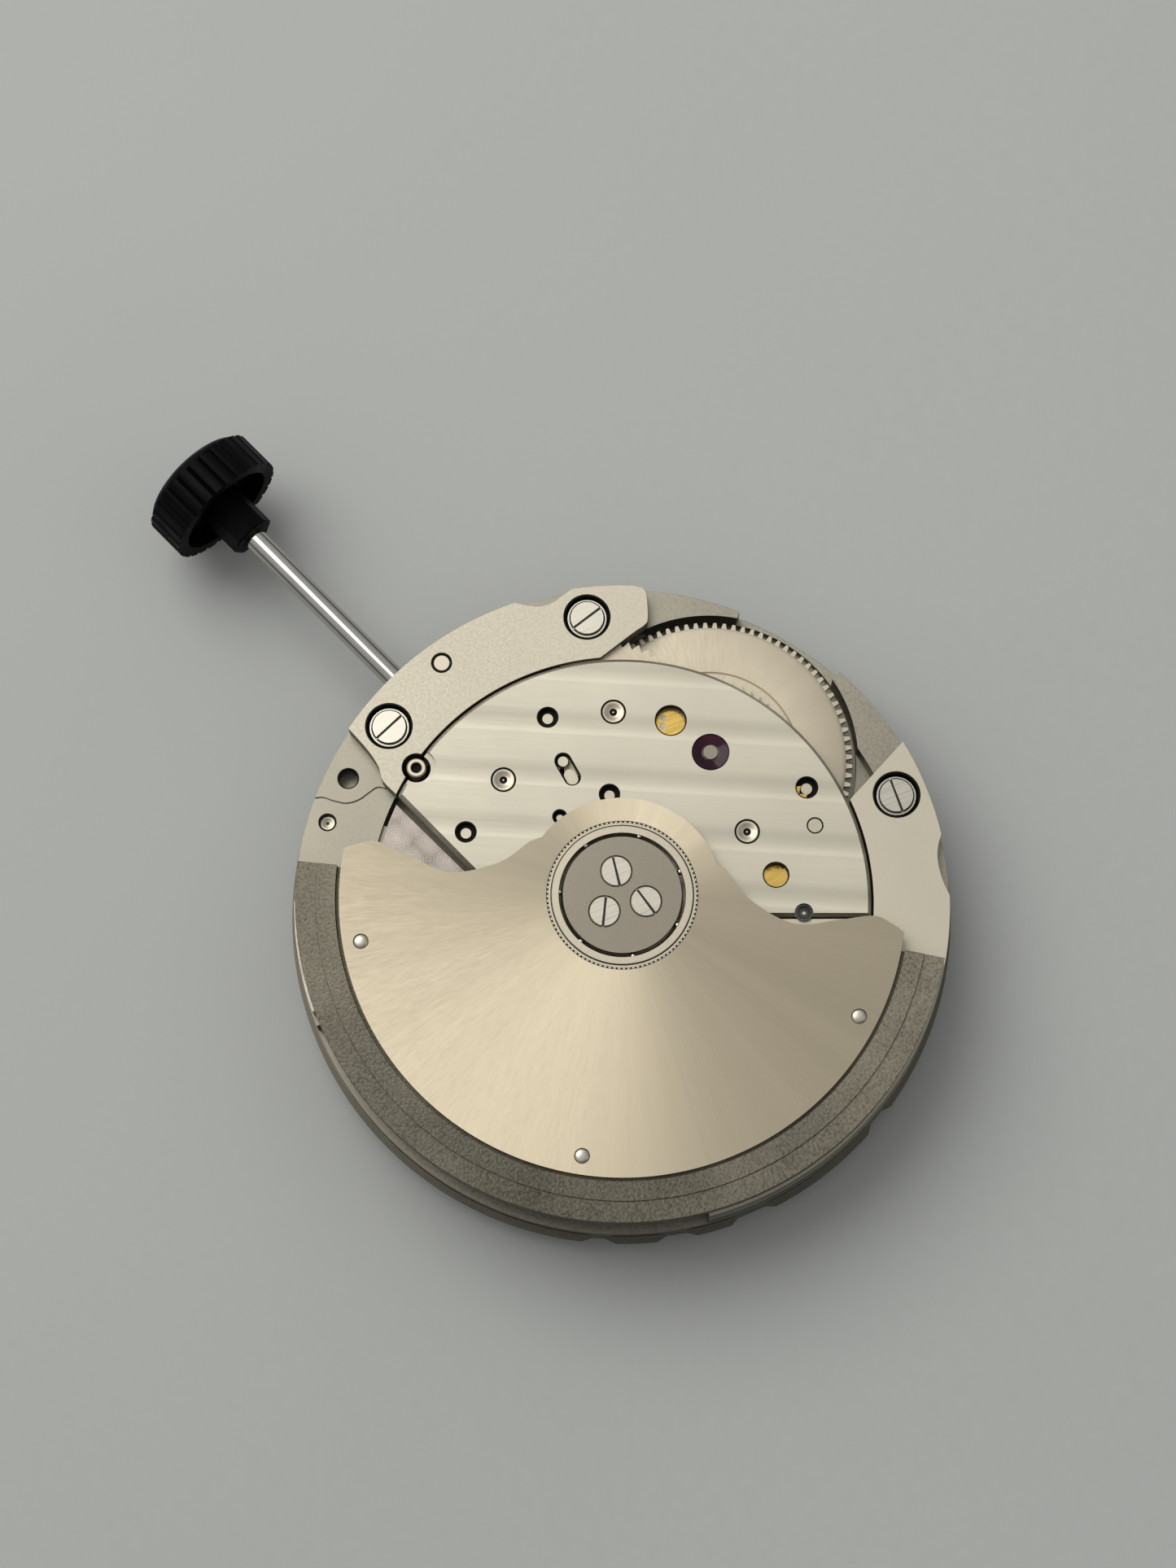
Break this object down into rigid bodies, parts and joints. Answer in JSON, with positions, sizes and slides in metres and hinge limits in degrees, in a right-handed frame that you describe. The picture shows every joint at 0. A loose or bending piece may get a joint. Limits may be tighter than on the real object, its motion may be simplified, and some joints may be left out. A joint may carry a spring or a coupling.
{
  "type": "automatic watch movement",
  "caption": "Automatic watch movement with swinging rotor, striped bridge, going train, calendar ring and a long setting stem that ends in a fluted crown",
  "frame": {"origin": "tip of the seconds post, on the movement's axis", "axes": "+X along the setting stem to the crown, +Z from the dial side to the rotor side"},
  "size_m": [0.038, 0.026, 0.0058],
  "materials": {
    "automatic_bridge": "nickel with parallel stripes",
    "balance_cock": "nickel with parallel stripes",
    "balance_wheel": "gilt",
    "barrel_arbor": "polished steel",
    "barrel_bridge": "fine matte nickel",
    "barrel_cover": "polished steel",
    "barrel_drum": "polished steel",
    "barrel_jewel": "polished synthetic ruby",
    "bearing_ball_1": "polished steel",
    "bearing_ball_2": "polished steel",
    "bearing_ball_3": "polished steel",
    "bearing_ball_4": "polished steel",
    "bearing_ball_5": "polished steel",
    "bearing_ball_6": "polished steel",
    "bearing_ball_7": "polished steel",
    "bearing_core": "polished steel",
    "bridge_screw_1": "polished steel",
    "bridge_screw_2": "polished steel",
    "bridge_screw_3": "polished steel",
    "cannon_pinion": "polished steel",
    "click": "polished steel",
    "cock_screw": "polished steel",
    "crown": "glossy black",
    "crown_wheel": "polished steel",
    "crown_wheel_jewel": "polished steel",
    "date_driving_wheel": "gilt",
    "date_guard": "polished steel",
    "date_idler_wheel": "gilt",
    "date_ring": "matt white",
    "escape_wheel": "polished steel",
    "fourth_wheel": "gilt",
    "hairspring": "blued spring alloy",
    "hour_wheel": "gilt",
    "hub_screw_1": "polished steel",
    "hub_screw_2": "polished steel",
    "hub_screw_3": "polished steel",
    "intermediate_jewel": "polished steel",
    "intermediate_wheel": "gilt",
    "main_plate": "fine matte nickel",
    "mainspring": "blued spring alloy",
    "minute_wheel": "gilt",
    "pallet_bridge": "nickel with parallel stripes",
    "pallet_fork": "polished steel",
    "ratchet_wheel": "polished steel",
    "reversing_jewel": "polished steel",
    "reversing_pinion": "polished steel",
    "reversing_wheel": "gilt",
    "rotor_bearing_ring": "polished steel",
    "rotor_plate": "fine sunray",
    "rotor_weight": "grained tungsten alloy",
    "second_wheel": "gilt",
    "setting_cover": "nickel with parallel stripes",
    "setting_lever": "polished steel",
    "sliding_pinion": "polished steel",
    "stem": "polished steel",
    "stem_release_button": "polished steel",
    "third_wheel": "gilt",
    "train_bridge": "fine matte nickel",
    "winding_pinion": "polished steel",
    "yoke": "polished steel"
  },
  "bodies": {
    "movement": {"main_plate": "main_plate", "barrel_bridge": "barrel_bridge", "train_bridge": "train_bridge", "automatic_bridge": "automatic_bridge", "setting_cover": "setting_cover", "balance_cock": "balance_cock", "pallet_bridge": "pallet_bridge", "bridge_screw_1": "bridge_screw_1", "bridge_screw_2": "bridge_screw_2", "bridge_screw_3": "bridge_screw_3", "cock_screw": "cock_screw", "hub_screw_1": "hub_screw_1", "hub_screw_2": "hub_screw_2", "hub_screw_3": "hub_screw_3", "bearing_core": "bearing_core", "bearing_ball_1": "bearing_ball_1", "bearing_ball_2": "bearing_ball_2", "bearing_ball_3": "bearing_ball_3", "bearing_ball_4": "bearing_ball_4", "bearing_ball_5": "bearing_ball_5", "bearing_ball_6": "bearing_ball_6", "bearing_ball_7": "bearing_ball_7", "barrel_jewel": "barrel_jewel", "reversing_jewel": "reversing_jewel", "intermediate_jewel": "intermediate_jewel", "crown_wheel_jewel": "crown_wheel_jewel", "hairspring": "hairspring", "date_guard": "date_guard"},
    "rotor": {"rotor_plate": "rotor_plate", "rotor_weight": "rotor_weight", "rotor_bearing_ring": "rotor_bearing_ring"},
    "reversing_wheel": {"reversing_wheel": "reversing_wheel"},
    "reversing_pinion": {"reversing_pinion": "reversing_pinion"},
    "intermediate_wheel": {"intermediate_wheel": "intermediate_wheel"},
    "crown_wheel": {"crown_wheel": "crown_wheel"},
    "ratchet": {"ratchet_wheel": "ratchet_wheel", "barrel_arbor": "barrel_arbor"},
    "click": {"click": "click"},
    "winding_pinion": {"winding_pinion": "winding_pinion"},
    "stem": {"stem": "stem", "crown": "crown"},
    "sliding_pinion": {"sliding_pinion": "sliding_pinion"},
    "setting_lever": {"setting_lever": "setting_lever"},
    "yoke": {"yoke": "yoke"},
    "release_button": {"stem_release_button": "stem_release_button"},
    "fourth_wheel": {"fourth_wheel": "fourth_wheel"},
    "third_wheel": {"third_wheel": "third_wheel"},
    "second_wheel": {"second_wheel": "second_wheel"},
    "barrel": {"barrel_drum": "barrel_drum", "barrel_cover": "barrel_cover", "mainspring": "mainspring"},
    "escape_wheel": {"escape_wheel": "escape_wheel"},
    "pallet_fork": {"pallet_fork": "pallet_fork"},
    "balance": {"balance_wheel": "balance_wheel"},
    "cannon_pinion": {"cannon_pinion": "cannon_pinion"},
    "minute_wheel": {"minute_wheel": "minute_wheel"},
    "hour_wheel": {"hour_wheel": "hour_wheel"},
    "date_idler": {"date_idler_wheel": "date_idler_wheel"},
    "date_driver": {"date_driving_wheel": "date_driving_wheel"},
    "date_ring": {"date_ring": "date_ring"}
  },
  "joints": [
    {"name": "rotor_spin", "type": "hinge", "parent": "movement", "child": "rotor", "pos_m": [0, 0, 0.00145], "axis": [0, 0, 1], "continuous": true},
    {"name": "reversing_spin", "type": "hinge", "parent": "movement", "child": "reversing_wheel", "pos_m": [-0.0015, -0.00534, 0.00145], "axis": [0, 0, 1], "continuous": true},
    {"name": "stem_turn", "type": "hinge", "parent": "movement", "child": "winding_pinion", "pos_m": [0.0075, 0, 0.00325], "axis": [1, 0, 0], "continuous": true},
    {"name": "crown_wheel_spin", "type": "hinge", "parent": "movement", "child": "crown_wheel", "pos_m": [0.00661, 0, 0.00145], "axis": [0, 0, 1], "continuous": true},
    {"name": "intermediate_spin", "type": "hinge", "parent": "movement", "child": "intermediate_wheel", "pos_m": [0.00557, -0.00499, 0.00145], "axis": [0, 0, 1], "continuous": true},
    {"name": "ratchet_spin", "type": "hinge", "parent": "movement", "child": "ratchet", "pos_m": [0.00176, -0.00657, 0.00145], "axis": [0, 0, 1], "continuous": true},
    {"name": "reversing_pinion_spin", "type": "hinge", "parent": "movement", "child": "reversing_pinion", "pos_m": [-0.0015, -0.00534, 0.00145], "axis": [0, 0, 1], "continuous": true},
    {"name": "stem_pull", "type": "slide", "parent": "winding_pinion", "child": "stem", "axis": [1, 0, 0], "range_m": [0, 0.0008]},
    {"name": "sliding_pinion_shift", "type": "slide", "parent": "winding_pinion", "child": "sliding_pinion", "axis": [1, 0, 0], "range_m": [-0.00036, 0]},
    {"name": "setting_lever_turn", "type": "hinge", "parent": "movement", "child": "setting_lever", "pos_m": [0.00937, 0.00208, 0.00145], "axis": [0, 0, 1], "range_deg": [0, 25.8]},
    {"name": "yoke_turn", "type": "hinge", "parent": "movement", "child": "yoke", "pos_m": [0.00665, 0.0026, 0.00145], "axis": [0, 0, 1], "range_deg": [-10.2, 0]},
    {"name": "release_press", "type": "slide", "parent": "movement", "child": "release_button", "axis": [0, 0, -1], "range_m": [0, 0.00015]},
    {"name": "click_rock", "type": "hinge", "parent": "movement", "child": "click", "pos_m": [-0.00317, -0.0074, 0.00145], "axis": [0, 0, 1], "range_deg": [0, 8]},
    {"name": "train_run", "type": "hinge", "parent": "movement", "child": "fourth_wheel", "pos_m": [0, 0, 0.00145], "axis": [0, 0, 1], "continuous": true},
    {"name": "escape_spin", "type": "hinge", "parent": "movement", "child": "escape_wheel", "pos_m": [-0.00051, 0.00268, 0.00145], "axis": [0, 0, 1], "continuous": true},
    {"name": "third_spin", "type": "hinge", "parent": "movement", "child": "third_wheel", "pos_m": [-0.00251, -0.00047, 0.00145], "axis": [0, 0, 1], "continuous": true},
    {"name": "second_spin", "type": "hinge", "parent": "movement", "child": "second_wheel", "pos_m": [-0.00338, -0.00303, 0.00145], "axis": [0, 0, 1], "continuous": true},
    {"name": "barrel_spin", "type": "hinge", "parent": "movement", "child": "barrel", "pos_m": [0.00176, -0.00657, 0.00145], "axis": [0, 0, 1], "continuous": true},
    {"name": "cannon_spin", "type": "hinge", "parent": "movement", "child": "cannon_pinion", "pos_m": [0, 0, 0.00145], "axis": [0, 0, 1], "continuous": true},
    {"name": "minute_spin", "type": "hinge", "parent": "movement", "child": "minute_wheel", "pos_m": [0.00225, 0.00082, 0.00145], "axis": [0, 0, 1], "continuous": true},
    {"name": "hour_spin", "type": "hinge", "parent": "movement", "child": "hour_wheel", "pos_m": [0, 0, 0.00145], "axis": [0, 0, 1], "continuous": true},
    {"name": "date_idler_spin", "type": "hinge", "parent": "movement", "child": "date_idler", "pos_m": [-0.00155, -0.00269, 0.00145], "axis": [0, 0, 1], "continuous": true},
    {"name": "date_driver_spin", "type": "hinge", "parent": "movement", "child": "date_driver", "pos_m": [-0.00345, -0.00598, 0.00145], "axis": [0, 0, 1], "continuous": true},
    {"name": "date_ring_turn", "type": "hinge", "parent": "movement", "child": "date_ring", "pos_m": [0, 0, 0.00145], "axis": [0, 0, 1], "continuous": true},
    {"name": "balance_swing", "type": "hinge", "parent": "movement", "child": "balance", "pos_m": [-0.00146, 0.00774, 0.00145], "axis": [0, 0, 1], "range_deg": [-270, 270], "stiffness_Nm_per_rad": 0.0000006},
    {"name": "pallet_rock", "type": "hinge", "parent": "movement", "child": "pallet_fork", "pos_m": [-0.00084, 0.00443, 0.00145], "axis": [0, 0, 1], "range_deg": [-5, 5]}
  ],
  "couplings": [
    {"joint": "reversing_spin", "follows": "rotor_spin", "ratio": -1.0476},
    {"joint": "crown_wheel_spin", "follows": "stem_turn", "ratio": -0.52381},
    {"joint": "intermediate_spin", "follows": "stem_turn", "ratio": 0.39577},
    {"joint": "ratchet_spin", "follows": "stem_turn", "ratio": -0.13192},
    {"joint": "reversing_pinion_spin", "follows": "stem_turn", "ratio": 1.0554},
    {"joint": "sliding_pinion_shift", "follows": "stem_pull", "ratio": -0.4375},
    {"joint": "setting_lever_turn", "follows": "stem_pull", "rad_per_m": 558.69},
    {"joint": "yoke_turn", "follows": "stem_pull", "rad_per_m": -218.75},
    {"joint": "escape_spin", "follows": "train_run", "ratio": -12},
    {"joint": "third_spin", "follows": "train_run", "ratio": -0.13333},
    {"joint": "second_spin", "follows": "train_run", "ratio": 0.016667},
    {"joint": "barrel_spin", "follows": "train_run", "ratio": -0.0021739},
    {"joint": "cannon_spin", "follows": "train_run", "ratio": 0.016667},
    {"joint": "minute_spin", "follows": "train_run", "ratio": -0.0055556},
    {"joint": "hour_spin", "follows": "train_run", "ratio": 0.0013889},
    {"joint": "date_idler_spin", "follows": "train_run", "ratio": -0.00039683},
    {"joint": "date_driver_spin", "follows": "train_run", "ratio": 0.00069444}
  ]
}
